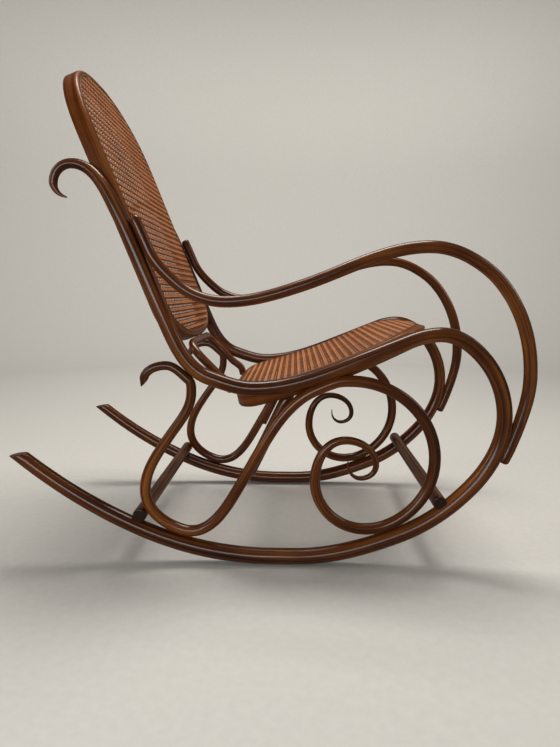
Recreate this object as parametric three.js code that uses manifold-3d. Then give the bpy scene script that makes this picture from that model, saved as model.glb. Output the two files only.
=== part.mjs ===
// Bentwood rocking chair: two side frames of steam-bent rods, a caned seat and a caned back.
// Millimetres. +X is the way the sitter faces, +Y the sitter's left, +Z up, and the floor is at zero.
import * as THREE from 'three';
import { mergeVertices } from 'three/addons/utils/BufferGeometryUtils.js';
import Module from 'manifold-3d';

const wasm = await Module();
wasm.setup();

// Overall sizes that the outlines of the bent rods follow
const chairLength = 1050;
const chairHeight = 1041;
const frameSpacing = 500;

// Rods
const railDiameter = 31;
const armDiameter = 24;
const scrollDiameter = 23;
const strutDiameter = 24;
const strutForward = 6;
const stretcherDiameter = 28;
const loopDiameter = 18;
const footLength = 44;
const stretcherLap = 9;
const armLap = 6;
const scrollLap = 3;

// Seat and back frames: a ring of rectangular section with a groove for the cane. The roundness of
// an end is the exponent of its superelliptic arch.
const backDepth = 32;
const seatDepth = 37;
const outerLand = 9;
const frontLand = 17;
const innerLand = 8;
const edgeRound = 6;
const grooveWidth = 5;
const grooveDepth = 6;
const rebateDepth = 2.4;
const caneThickness = 1.8;
const splineCrown = 0.8;
const openingPitch = 66;
const openingSide = 42;
const backHeight = 615;
const backBelowPost = 290;
const backLean = 21.4;
const backTopEnd = { arch: 180, roundnessShare: 2.2 };
const backFootEnd = { arch: 85, roundnessShare: 2.4 };
const seatRearEnd = { arch: 76, roundnessShare: 3.3 };
const seatFrontEnd = { arch: 130, roundnessShare: 2.3 };
const caneFrontEnd = { arch: 115, roundnessShare: 1.95 };

// Connecting loop
const loopWidth = 270;
const loopCorner = 42;
const loopOverlap = 10;
const loopSetBack = 6;

// Screws
const headDiameter = 7.6;
const headHeight = 2.6;
const shankDiameter = 4;
const screwPoint = 4;
const headSink = 0.6;
const shortScrew = 30;
const longScrew = 42;
const loopScrew = 26;

// Clearances, and how finely curves are divided
const contactGap = 0.3;
const overrun = 20;
const longestStep = 34;
const sharpestAngle = 13;
const archSteps = 7;
const sideStep = 40;
const loopSteps = 5;
const cornerSteps = 4;
const railSides = 12;
const rodSides = 8;
const stretcherSides = 16;
const screwSides = 6;

const degree = Math.PI / 180;
const fullTurn = 2 * Math.PI;

// Each row of an outline: x as a share of the chair's length, z as a share of its height,
// heading of travel in degrees, radius as a share of the rod's radius.
const railTopShares = [
  [-0.362, 0.7055, 167, 0.1],
  [-0.3845, 0.7305, 90, 0.52],
  [-0.3505, 0.7645, 0, 0.6],
  [-0.2767, 0.692, -64, 0.85],
  [-0.194, 0.4925, -67, 0.95],
  [-0.1085, 0.373, -20, 0.96],
  [-0.025, 0.3525, 0, 0.94],
  [0.1795, 0.408, 21.5, 0.94],
  [0.2685, 0.444, 21.5, 0.93],
  [0.322, 0.4553, 0, 0.94],
  [0.3995, 0.4135, -47.5, 0.95],
  [0.4455, 0.297, -89, 0.96],
  [0.3905, 0.163, -131.5, 1.03],
  [0.2565, 0.0645, -157.5, 1.05],
];
const foot = { xShare: 0.031, radiusShare: 1.08 };
const railTailShares = [
  [-0.2297, 0.064, 157.5, 1.05],
  [-0.4825, 0.221, 140, 0.92],
];
const tailCutAngle = 99;
const hookCutAngle = -44;

const armShares = [
  [-0.166, 0.5495, -42, 0.93],
  [-0.0755, 0.516, 0, 0.94],
  [0.0705, 0.5475, 18.5, 0.98],
  [0.302, 0.615, -2, 1],
  [0.3685, 0.5957, -28.5, 1],
  [0.424, 0.553, -48.5, 1.04],
  [0.4885, 0.372, -90, 1.06],
  [0.4797, 0.31, -104.5, 1.02],
];

const scrollHookShares = [
  [-0.2317, 0.3615, 105, 0.74],
  [-0.1905, 0.396, 0, 0.78],
];
const scrollRearShares = [
  [-0.143, 0.3445, -91, 0.86],
  [-0.1865, 0.2595, -124.5, 0.9],
  [-0.237, 0.149, -90, 0.97],
];
const scrollRiseShares = [
  [-0.047, 0.1715, 60, 0.97],
  [0.009, 0.2688, 57.5, 0.97],
  [0.0615, 0.3308, 39, 0.98],
];
const scrollLoopShares = [
  [0.157, 0.3675, 0, 1],
  [0.319, 0.213, -90, 1.02],
];
const scrollSpiralShares = [
  [0.1885, 0.075, 180, 1],
  [0.0917, 0.172, 90, 0.92],
  [0.1495, 0.2525, 0, 0.71],
  [0.208, 0.2035, -90, 0.54],
  [0.179, 0.1775, 180, 0.42],
  [0.1548, 0.213, 78, 0.08],
];

// Rings of a rounded end: reach beyond the rod's last station and radius, as shares of its radius
const roundedEndShares = [
  [0.45, 0.86],
  [0.75, 0.55],
];

// How far the rounded outer edge of a caned frame is cut back, as a share of its radius
const edgeShare = 0.29;

// x, z and heading of the connecting loop between its feet and its bow
const loopShares = [
  [-0.1067, 0.3636, 133],
  [-0.1435, 0.402, 133],
];

// x, z and heading of the seat frame's face, from rear to front
const seatShares = [
  [-0.0757, 0.339, 12],
  [0.1157, 0.3958, 20.5],
  [0.231, 0.4463, 25],
  [0.3095, 0.467, 0],
  [0.3322, 0.4591, -37],
];

// Contacts. A place on a rod is the number of knots passed and the share of the bend after them.
const armOnPost = { fromShare: 3.19, toShare: 3.44, radiusShare: 0.88 };
const armOnLoop = { placeShare: 11.5, radiusShare: 0.93 };
const hookOnPost = { placeShare: 4.8, radiusShare: 0.82 };
const rearOnRunner = { placeShare: 15.76, radiusShare: 1 };
const topOnSeatRail = { placeShare: 6.7, radiusShare: 0.96 };
const frontOnRunner = { placeShare: 13.1, radiusShare: 1 };
const backOnPostShare = 3;
const backLowContactShare = 4;
const seatContactShare = 6;
const frontStretcherShare = 12.4;
const rearStretcherShare = 5.33;
const strutFootShare = 7.12;
const strutTopShare = 0.246;
const scrollJointShare = 9.5;
const scrollJointClearShare = 0.3;
const scrollJointAngle = 45;

// Places of the screws
const armPostScrewShare = 3.3;
const armEndScrewShare = 0.4;
const hookScrewShare = 2;
const seatRailScrewShare = 10;
const backScrewShare = 3.13;
const seatScrewShares = { rear: 0.285, front: 0.64 };
const seatScrewDrop = 14;
const bowScrewSpread = 60;

const materials = {
  wood: { color: 0x4a2413, roughness: 0.35, metalness: 0 },
  ring: { color: 0x5e2f17, roughness: 0.38, metalness: 0 },
  cane: { color: 0xa06a48, roughness: 0.6, metalness: 0 },
  spline: { color: 0x8a5c40, roughness: 0.6, metalness: 0 },
  steel: { color: 0x2b2520, roughness: 0.4, metalness: 0.8 },
};

// A knot of a planar outline, in millimetres and radians
function knot([xShare, zShare, heading, radiusShare = 0], diameter = 0) {
  return {
    x: xShare * chairLength,
    z: zShare * chairHeight,
    heading: heading * degree,
    radius: radiusShare * diameter / 2,
  };
}

// A smooth curve through knots, close to a circular arc wherever two knots allow one
function outline(knots) {
  const turned = knots.map((each) => ({ ...each }));
  for (let i = 1; i < turned.length; i += 1) {
    const turn = turned[i].heading - turned[i - 1].heading;
    turned[i].heading -= fullTurn * Math.round(turn / fullTurn);
  }
  const bends = turned.slice(1).map((to, i) => bend(turned[i], to));
  return { knots: turned, bends };
}

function bend(from, to) {
  const turn = to.heading - from.heading;
  const chord = Math.hypot(to.x - from.x, to.z - from.z);
  const reach = chord / (3 * Math.cos(turn / 4) ** 2);
  return new THREE.CubicBezierCurve(
    new THREE.Vector2(from.x, from.z),
    new THREE.Vector2(from.x + reach * Math.cos(from.heading), from.z + reach * Math.sin(from.heading)),
    new THREE.Vector2(to.x - reach * Math.cos(to.heading), to.z - reach * Math.sin(to.heading)),
    new THREE.Vector2(to.x, to.z),
  );
}

// The point, heading and radius at a place counted in knots
function along({ knots, bends }, place) {
  const i = Math.min(Math.floor(place), bends.length - 1);
  const t = place - i;
  const point = bends[i].getPoint(t);
  const direction = bends[i].getTangent(t);
  return {
    x: point.x,
    z: point.y,
    heading: Math.atan2(direction.y, direction.x),
    radius: THREE.MathUtils.lerp(knots[i].radius, knots[i + 1].radius, t),
  };
}

// A knot that lies beside another rod, touching it but for the contact gap, or let into it by a
// lap. Side is 1 on the left of that rod's travel and -1 on the right.
function beside(rod, place, side, radius, { reversed = false, lap = 0 } = {}) {
  const near = along(rod, place);
  const reach = side * (near.radius + radius + contactGap - lap);
  return {
    x: near.x - reach * Math.sin(near.heading),
    z: near.z + reach * Math.cos(near.heading),
    heading: near.heading + (reversed ? Math.PI : 0),
    radius,
  };
}

// Stations along a stretch of an outline, close enough together for its curves. A share of a bend
// is kept clear at an end where the rod is cut on a slant.
function stations(rod, first = 0, last = rod.bends.length, clearShare = 0) {
  const places = [];
  rod.bends.forEach((each, i) => {
    const turn = Math.abs(rod.knots[i + 1].heading - rod.knots[i].heading) / degree;
    const steps = Math.max(1, Math.ceil(each.getLength() / longestStep), Math.ceil(turn / sharpestAngle));
    for (let step = 0; step < steps; step += 1) places.push(i + step / steps);
  });
  const within = places.filter((place) => place > first + clearShare && place < last - clearShare);
  return [first, ...within, last].map((place) => along(rod, place));
}

// Joins rings of points into one closed body. A closed chain of rings needs no caps.
function skin(rings, closed = false) {
  const sides = rings[0].length;
  const positions = rings.flat().flatMap((point) => [point.x, point.y, point.z]);
  const faces = [];
  const last = closed ? rings.length : rings.length - 1;
  for (let i = 0; i < last; i += 1) {
    const next = (i + 1) % rings.length;
    for (let k = 0; k < sides; k += 1) {
      const a = i * sides + k;
      const b = i * sides + (k + 1) % sides;
      const c = next * sides + (k + 1) % sides;
      const d = next * sides + k;
      faces.push([a, b, c], [a, c, d]);
    }
  }
  if (!closed) {
    const end = (rings.length - 1) * sides;
    for (let k = 1; k < sides - 1; k += 1) {
      faces.push([0, k + 1, k], [end, end + k, end + k + 1]);
    }
  }
  return outward(positions, faces);
}

// A geometry whose faces point out, whichever way round its rings were given
function outward(positions, faces) {
  const corner = (i) => new THREE.Vector3().fromArray(positions, 3 * i);
  const volume = faces.reduce((sum, [a, b, c]) => sum + corner(a).dot(corner(b).cross(corner(c))), 0);
  const geometry = new THREE.BufferGeometry();
  geometry.setAttribute('position', new THREE.Float32BufferAttribute(positions, 3));
  geometry.setIndex((volume < 0 ? faces.map(([a, b, c]) => [a, c, b]) : faces).flat());
  return geometry;
}

// A ring of points round a station of a side rod. Its flats lie at the radius, square to the bend.
function ringAt(station, y, sides) {
  const corner = station.radius / Math.cos(Math.PI / sides);
  return Array.from({ length: sides }, (_, k) => {
    const angle = (k + 0.5) * fullTurn / sides;
    const inPlane = corner * Math.cos(angle);
    return new THREE.Vector3(
      station.x - inPlane * Math.sin(station.heading),
      y + corner * Math.sin(angle),
      station.z + inPlane * Math.cos(station.heading),
    );
  });
}

// Slides a ring's points along the rod onto a plane through the rod's centre
function cutRing(ring, station, y, normal) {
  const centre = new THREE.Vector3(station.x, y, station.z);
  const travel = new THREE.Vector3(Math.cos(station.heading), 0, Math.sin(station.heading));
  return ring.map((point) => {
    const slide = centre.clone().sub(point).dot(normal) / travel.dot(normal);
    return point.clone().addScaledVector(travel, slide);
  });
}

// Rings that round off a rod's end beyond its last station
function roundedEnd(station, y, sides, direction) {
  return roundedEndShares.map(([reachShare, radiusShare]) => {
    const reach = direction * reachShare * station.radius;
    const x = station.x + reach * Math.cos(station.heading);
    const z = station.z + reach * Math.sin(station.heading);
    return ringAt({ ...station, x, z, radius: radiusShare * station.radius }, y, sides);
  });
}

// A curve in the side view that a ring, panel or loop is bent to: its points, tangents and length
function profile(knots) {
  const curve = new THREE.CurvePath();
  outline(knots).bends.forEach((each) => curve.add(each));
  const length = curve.getLength();
  const at = (distance) => {
    const share = THREE.MathUtils.clamp(distance / length, 0, 1);
    const point = curve.getPointAt(share);
    const travel = curve.getTangentAt(share);
    const beyond = distance - share * length;
    return {
      x: point.x + beyond * travel.x,
      z: point.y + beyond * travel.y,
      travel: new THREE.Vector3(travel.x, 0, travel.y),
      normal: new THREE.Vector3(-travel.y, 0, travel.x),
    };
  };
  return { length, at };
}

// The point at a distance along a profile, a width to its side and a height off its face
function onProfile(curve, distance, width, height) {
  const base = curve.at(distance);
  return new THREE.Vector3(base.x, width, base.z).addScaledVector(base.normal, height);
}

// The left half of a symmetric oval: a straight side between two superelliptic arches. Each point
// is [distance, width], and none lies on the middle line.
function halfOval(length, halfWidth, first, last, steps = sideSteps(length, first, last)) {
  const points = [];
  const addArch = (step, base, reach, roundness) => {
    const angle = (1 - (step + 0.5) / (archSteps + 0.5)) * Math.PI / 2;
    const rise = Math.sin(angle) ** (2 / roundness);
    const spread = Math.cos(angle) ** (2 / roundness);
    points.push([base + reach * rise, halfWidth * spread]);
  };
  for (let i = 0; i < archSteps; i += 1) addArch(i, first.arch, -first.arch, first.roundnessShare);
  const straight = length - first.arch - last.arch;
  for (let i = 0; i <= steps; i += 1) points.push([first.arch + straight * i / steps, halfWidth]);
  for (let i = archSteps - 1; i >= 0; i -= 1) addArch(i, length - last.arch, last.arch, last.roundnessShare);
  return points;
}

function sideSteps(length, first, last) {
  return Math.max(1, Math.ceil((length - first.arch - last.arch) / sideStep));
}

function wholeOval(half) {
  const other = half.map(([distance, width]) => [distance, -width]).reverse();
  return [...half, ...other];
}

// Moves each point of a closed or open path to its right by a distance, with mitred corners
function inset(path, distance, closed) {
  const count = path.length;
  const edgeNormal = (from, to) => {
    const length = Math.hypot(to[0] - from[0], to[1] - from[1]);
    return [(to[1] - from[1]) / length, -(to[0] - from[0]) / length];
  };
  return path.map((point, i) => {
    const before = closed ? path[(i + count - 1) % count] : path[Math.max(i - 1, 0)];
    const after = closed ? path[(i + 1) % count] : path[Math.min(i + 1, count - 1)];
    const normals = [];
    if (before !== point) normals.push(edgeNormal(before, point));
    if (after !== point) normals.push(edgeNormal(point, after));
    const sum = normals.reduce((total, each) => [total[0] + each[0], total[1] + each[1]], [0, 0]);
    const size = Math.hypot(...sum);
    const unit = [sum[0] / size, sum[1] / size];
    const mitre = unit[0] * normals[0][0] + unit[1] * normals[0][1];
    return [point[0] + distance * unit[0] / mitre, point[1] + distance * unit[1] / mitre];
  });
}

// Sweeps a section along paths on a profile. Each of its points is [path, inset, height].
function bentStrip(curve, section, closed) {
  const paths = section.map(([path, across]) => inset(path, across, closed));
  const rings = paths[0].map((_, i) => section.map(([, , height], k) => {
    const [distance, width] = paths[k][i];
    return onProfile(curve, distance, width, height);
  }));
  return skin(rings, closed);
}

// The caned panel: a thin closed sheet inside a symmetric oval on a profile
function panel(curve, half, bottom, top) {
  return skin(half.map(([distance, width]) => [
    onProfile(curve, distance, -width, bottom),
    onProfile(curve, distance, width, bottom),
    onProfile(curve, distance, width, top),
    onProfile(curve, distance, -width, top),
  ]));
}

// The frame's section, from its outer edge and from the outer edge of its groove
const ringSection = (outer, groove, depth) => [
  [outer, 0, -edgeRound],
  [outer, edgeShare * edgeRound, -edgeShare * edgeRound],
  [outer, edgeRound, 0],
  [groove, 0, 0],
  [groove, 0, -grooveDepth],
  [groove, grooveWidth, -grooveDepth],
  [groove, grooveWidth, -rebateDepth],
  [groove, grooveWidth + innerLand, -rebateDepth],
  [groove, grooveWidth + innerLand, -depth],
  [outer, 0, -depth],
];
const splineSection = (groove) => [
  [groove, grooveWidth - contactGap, contactGap - grooveDepth],
  [groove, grooveWidth - contactGap, 0],
  [groove, grooveWidth / 2, splineCrown],
  [groove, contactGap, 0],
  [groove, contactGap, contactGap - grooveDepth],
];
const caneBottom = contactGap - rebateDepth;

// Ring, spline and cane of one caned frame, from the halves of its outline and of its groove's
function canedFrame(curve, half, grooveHalf, depth) {
  const outer = wholeOval(half);
  const groove = wholeOval(grooveHalf);
  const caneEdge = inset(groove, grooveWidth, true).slice(0, half.length);
  return {
    frame: bentStrip(curve, ringSection(outer, groove, depth), true),
    spline: bentStrip(curve, splineSection(groove), true),
    cane: panel(curve, caneEdge, caneBottom, caneBottom + caneThickness),
    openings: openingCutters(curve, caneEdge, caneBottom - overrun, caneBottom + overrun),
  };
}

// Cutters for a plain grid of openings in a caned panel, one cell for several of the weave's. Each
// keeps a bar's width from the panel's edge.
function openingCutters(curve, half, bottom, top) {
  const bar = openingPitch - openingSide;
  const edge = inset(wholeOval(half), bar / 2, true).slice(0, half.length);
  const widthAt = (distance) => {
    const i = edge.findIndex(([reach]) => reach >= distance);
    if (i < 1) return 0;
    const [[from, wide], [to, wider]] = [edge[i - 1], edge[i]];
    return THREE.MathUtils.mapLinear(distance, from, to, wide, wider);
  };
  const first = edge[0][0];
  const length = edge.at(-1)[0] - first;
  const rows = Math.floor(length / openingPitch);
  const columns = 2 * Math.floor(Math.max(...edge.map(([, width]) => width)) / openingPitch);
  const cutters = [];
  for (let row = 0; row < rows; row += 1) {
    const centre = first + length / 2 + (row - (rows - 1) / 2) * openingPitch;
    const ends = [centre - openingSide / 2, centre + openingSide / 2];
    for (let column = 0; column < columns; column += 1) {
      const middle = (column - (columns - 1) / 2) * openingPitch;
      const sides = [middle - openingSide / 2, middle + openingSide / 2];
      const outermost = Math.max(...sides.map(Math.abs));
      if (ends.every((end) => widthAt(end) > outermost)) {
        const corners = [[0, 0], [0, 1], [1, 1], [1, 0]];
        const ring = (height) => corners.map(([i, k]) => onProfile(curve, ends[i], sides[k], height));
        cutters.push(solidOf(skin([ring(bottom), ring(top)])));
      }
    }
  }
  return cutters;
}

// Solids are kept for cutting until every piece is made
const solids = {};
const finishes = {};

function solidOf(geometry) {
  const bare = geometry.clone();
  bare.deleteAttribute('normal');
  bare.deleteAttribute('uv');
  const merged = mergeVertices(bare);
  return new wasm.Manifold(new wasm.Mesh({
    numProp: 3,
    vertProperties: new Float32Array(merged.attributes.position.array),
    triVerts: new Uint32Array(merged.index.array),
  }));
}

function add(name, geometry, finish) {
  solids[name] = solidOf(geometry);
  finishes[name] = finish;
}

function cut(name, cutter) {
  solids[name] = solids[name].subtract(cutter);
}

// A wood screw with its head's outer face at the origin and its point down -Y. A clearance turns
// it into the hole for one.
function screwGeometry(length, clearance) {
  const head = headDiameter / 2 + clearance;
  const shank = shankDiameter / 2 + clearance;
  const mouth = clearance > 0 ? overrun : 0;
  const tip = length + clearance;
  return new THREE.LatheGeometry([
    new THREE.Vector2(0, -tip),
    new THREE.Vector2(shank, screwPoint - tip),
    new THREE.Vector2(shank, -headHeight - clearance),
    new THREE.Vector2(head, -headHeight - clearance),
    new THREE.Vector2(head, mouth),
    new THREE.Vector2(0, mouth),
  ], screwSides);
}

// Drives a screw from a point on a surface, in a direction, through the named pieces
function driveScrew(name, surface, direction, length, pieces) {
  const drive = direction.clone().normalize();
  const turn = new THREE.Quaternion().setFromUnitVectors(new THREE.Vector3(0, -1, 0), drive);
  const start = surface.clone().addScaledVector(drive, headSink);
  const placed = (clearance) => screwGeometry(length, clearance)
    .applyQuaternion(turn)
    .translate(start.x, start.y, start.z);
  add(name, placed(0), 'steel');
  const hole = solidOf(placed(contactGap));
  pieces.forEach((piece) => cut(piece, hole));
}

// Drives a screw square into a rod from one side of it: 1 is the left of its travel, -1 the right
function driveFromSide(name, rod, place, side, y, length, pieces) {
  const { x, z, heading, radius } = along(rod, place);
  const outward = new THREE.Vector3(-side * Math.sin(heading), 0, side * Math.cos(heading));
  const surface = new THREE.Vector3(x, y, z).addScaledVector(outward, radius);
  driveScrew(name, surface, outward.negate(), length, pieces);
}

// Side rail: hook, back post, seat rail, front loop and runner in one rod
const footRadius = foot.radiusShare * railDiameter / 2;
const footKnots = [1, -1].map((end) => ({
  x: foot.xShare * chairLength + end * footLength / 2,
  z: footRadius,
  heading: Math.PI,
  radius: footRadius,
}));
const rail = outline([
  ...railTopShares.map((row) => knot(row, railDiameter)),
  ...footKnots,
  ...railTailShares.map((row) => knot(row, railDiameter)),
]);

// Arm: pressed against the front of the post, over the front and down the outside of the loop,
// where its inner face is hollowed to fit
const armRadius = armDiameter / 2;
const arm = outline([
  beside(rail, armOnPost.fromShare, 1, armOnPost.radiusShare * armRadius),
  beside(rail, armOnPost.toShare, 1, armOnPost.radiusShare * armRadius),
  ...armShares.map((row) => knot(row, armDiameter)),
  beside(rail, armOnLoop.placeShare, 1, armOnLoop.radiusShare * armRadius, { lap: armLap }),
]);

// Scroll: hook behind, bow on the runner, up to the seat rail, large loop and spiral. It is bent
// from two rods, joined by a scarf just below the seat rail.
const scrollRadius = scrollDiameter / 2;
const scrollParts = [
  scrollHookShares.map((row) => knot(row, scrollDiameter)),
  [beside(rail, hookOnPost.placeShare, -1, hookOnPost.radiusShare * scrollRadius)],
  scrollRearShares.map((row) => knot(row, scrollDiameter)),
  [beside(rail, rearOnRunner.placeShare, -1, rearOnRunner.radiusShare * scrollRadius, { reversed: true })],
  scrollRiseShares.map((row) => knot(row, scrollDiameter)),
  [beside(rail, topOnSeatRail.placeShare, -1, topOnSeatRail.radiusShare * scrollRadius, { lap: scrollLap })],
  scrollLoopShares.map((row) => knot(row, scrollDiameter)),
  [beside(rail, frontOnRunner.placeShare, -1, frontOnRunner.radiusShare * scrollRadius)],
  scrollSpiralShares.map((row) => knot(row, scrollDiameter)),
];
const scroll = outline(scrollParts.flat());

// Caned frames fit between the side rails
const halfInside = (place) => frameSpacing / 2 - along(rail, place).radius - contactGap;

const post = along(rail, backOnPostShare);
const lean = new THREE.Vector3(-Math.sin(backLean * degree), 0, Math.cos(backLean * degree));
const backFront = new THREE.Vector3(lean.z, 0, -lean.x);
const backFoot = new THREE.Vector3(post.x, 0, post.z)
  .addScaledVector(backFront, backDepth / 2)
  .addScaledVector(lean, -backBelowPost);
const backTop = backFoot.clone().addScaledVector(lean, backHeight);
const downBack = Math.atan2(-lean.z, -lean.x);
const backCurve = profile([
  { x: backTop.x, z: backTop.z, heading: downBack },
  { x: backFoot.x, z: backFoot.z, heading: downBack },
]);
const backHalf = halfOval(backHeight, halfInside(backLowContactShare), backTopEnd, backFootEnd);
const backGroove = inset(wholeOval(backHalf), outerLand, true).slice(0, backHalf.length);
const back = canedFrame(backCurve, backHalf, backGroove, backDepth);

const seatCurve = profile(seatShares.map((row) => knot(row)));
const seatHalf = halfOval(seatCurve.length, halfInside(seatContactShare), seatRearEnd, seatFrontEnd);
const seatGroove = halfOval(
  seatCurve.length - outerLand - frontLand,
  halfInside(seatContactShare) - outerLand,
  { ...seatRearEnd, arch: seatRearEnd.arch - outerLand },
  caneFrontEnd,
  sideSteps(seatCurve.length, seatRearEnd, seatFrontEnd),
).map(([distance, width]) => [distance + outerLand, width]);
const seat = canedFrame(seatCurve, seatHalf, seatGroove, seatDepth);

add('back_frame', back.frame, 'ring');
add('back_spline', back.spline, 'spline');
add('back_cane', back.cane, 'cane');
add('seat_frame', seat.frame, 'ring');
add('seat_spline', seat.spline, 'spline');
add('seat_cane', seat.cane, 'cane');
back.openings.forEach((opening) => cut('back_cane', opening));
seat.openings.forEach((opening) => cut('seat_cane', opening));

// Connecting loop: two legs up the rear face of the seat frame and a bow under the back frame
const loopRadius = loopDiameter / 2;
const legSetOut = loopRadius + contactGap;
const legPlace = loopWidth / 2;
const rearEdge = (width) => {
  const spread = (width / halfInside(seatContactShare)) ** seatRearEnd.roundnessShare;
  return seatRearEnd.arch * (1 - (1 - spread) ** (1 / seatRearEnd.roundnessShare));
};
const legFoot = (height) => {
  const distance = rearEdge(legPlace - loopRadius / 2) - legSetOut;
  const point = onProfile(seatCurve, distance, legPlace, height);
  return { x: point.x, z: point.z, heading: seatShares[0][2] * degree + Math.PI / 2 };
};
const bow = backFoot.clone()
  .addScaledVector(backFront, -loopSetBack)
  .addScaledVector(lean, -legSetOut);
const loopCurve = profile([
  legFoot(-loopOverlap),
  legFoot(0),
  ...loopShares.map((row) => knot(row)),
  { x: bow.x, z: bow.z, heading: Math.atan2(lean.z, lean.x) },
]);
const loopHalf = Array.from({ length: loopSteps + 1 }, (_, i) => [
  (loopCurve.length - loopCorner) * i / loopSteps,
  legPlace,
]);
for (let i = 1; i <= cornerSteps; i += 1) {
  const angle = i / cornerSteps * Math.PI / 2;
  loopHalf.push([
    loopCurve.length - loopCorner * (1 - Math.sin(angle)),
    legPlace - loopCorner * (1 - Math.cos(angle)),
  ]);
}
const loopPath = wholeOval(loopHalf);
const loopSection = Array.from({ length: rodSides }, (_, k) => {
  const angle = (k + 0.5) * fullTurn / rodSides;
  const corner = loopRadius / Math.cos(Math.PI / rodSides);
  return [loopPath, corner * Math.cos(angle), corner * Math.sin(angle)];
});
add('connecting_loop', bentStrip(loopCurve, loopSection, false), 'wood');

// Stretchers lie across both runners and are let into them
const stretcherRadius = stretcherDiameter / 2;
const stretchers = {
  front: beside(rail, frontStretcherShare, -1, stretcherRadius, { lap: stretcherLap }),
  rear: beside(scroll, rearStretcherShare, -1, stretcherRadius),
};
function stretcherGeometry({ x, z }, clearance) {
  const radius = stretcherRadius + clearance;
  const length = frameSpacing + scrollDiameter + overrun * Math.sign(clearance);
  return new THREE.CylinderGeometry(radius, radius, length, stretcherSides).translate(x, 0, z);
}
Object.entries(stretchers).forEach(([word, centre]) => {
  add(`${word}_stretcher`, stretcherGeometry(centre, 0), 'wood');
});

// Strut: from beside the scroll up to the underside of the seat frame
const strutRadius = strutDiameter / 2;
const strutFoot = along(scroll, strutFootShare);
const strutStart = {
  ...strutFoot,
  x: strutFoot.x + strutForward * Math.sin(strutFoot.heading),
  z: strutFoot.z - strutForward * Math.cos(strutFoot.heading),
};
const strutEnd = onProfile(seatCurve, strutTopShare * seatCurve.length, 0, -seatDepth - contactGap);
const strutHeading = Math.atan2(strutEnd.z - strutStart.z, strutEnd.x - strutStart.x);
const strutWidth = frameSpacing / 2 - strutStart.radius - strutRadius - contactGap;

// One side frame: rail, arm, scroll and strut, in a plane parallel to the chair's middle
function sideFrame(side, word) {
  const y = side * frameSpacing / 2;
  const railRings = (clearance) => {
    const widened = stations(rail).map((each) => ({ ...each, radius: each.radius + clearance }));
    const tail = widened.at(-1);
    const rings = widened.map((station) => ringAt(station, y, railSides));
    const tailNormal = new THREE.Vector3(
      Math.cos(tailCutAngle * degree), 0, Math.sin(tailCutAngle * degree),
    );
    rings.push(cutRing(rings.pop(), tail, y, tailNormal));
    return rings;
  };
  add(`${word}_side_rail`, skin(railRings(0)), 'wood');
  const railSpace = solidOf(skin(railRings(contactGap)));

  const armStations = stations(arm);
  add(`${word}_arm`, skin([
    ...roundedEnd(armStations[0], y, rodSides, -1).reverse(),
    ...armStations.map((station) => ringAt(station, y, rodSides)),
    ...roundedEnd(armStations.at(-1), y, rodSides, 1),
  ]), 'wood');
  cut(`${word}_arm`, railSpace);

  const bowStations = stations(scroll, 0, scrollJointShare, scrollJointClearShare);
  const last = scroll.bends.length;
  const loopStations = stations(scroll, scrollJointShare, last, scrollJointClearShare);
  const bowStart = bowStations.shift();
  const bowEnd = bowStations.pop();
  const gapTravel = contactGap / Math.cos(scrollJointAngle * degree);
  const loopEnd = {
    ...loopStations.shift(),
    x: bowEnd.x + gapTravel * Math.cos(bowEnd.heading),
    z: bowEnd.z + gapTravel * Math.sin(bowEnd.heading),
  };
  const scarfAngle = bowEnd.heading + scrollJointAngle * degree;
  const scarf = new THREE.Vector3(Math.cos(scarfAngle), 0, Math.sin(scarfAngle));
  const scrollRing = (station) => ringAt(station, y, rodSides);
  const hookNormal = new THREE.Vector3(
    Math.cos(hookCutAngle * degree), 0, Math.sin(hookCutAngle * degree),
  );
  add(`${word}_scroll_bow`, skin([
    cutRing(scrollRing(bowStart), bowStart, y, hookNormal),
    ...bowStations.map(scrollRing),
    cutRing(scrollRing(bowEnd), bowEnd, y, scarf),
  ]), 'wood');
  add(`${word}_scroll_loop`, skin([
    cutRing(scrollRing(loopEnd), loopEnd, y, scarf),
    ...loopStations.map(scrollRing),
  ]), 'wood');
  cut(`${word}_scroll_bow`, railSpace);
  cut(`${word}_scroll_loop`, railSpace);
  Object.values(stretchers).forEach((centre) => {
    cut(`${word}_side_rail`, solidOf(stretcherGeometry(centre, contactGap)));
  });

  const strutY = side * strutWidth;
  const start = { x: strutStart.x, z: strutStart.z, heading: strutHeading, radius: strutRadius };
  const end = { ...start, x: strutEnd.x, z: strutEnd.z };
  const seatNormal = seatCurve.at(strutTopShare * seatCurve.length).normal;
  add(`${word}_strut`, skin([
    ...roundedEnd(start, strutY, rodSides, -1).reverse(),
    ringAt(start, strutY, rodSides),
    cutRing(ringAt(end, strutY, rodSides), end, strutY, seatNormal),
  ]), 'wood');
}

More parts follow.
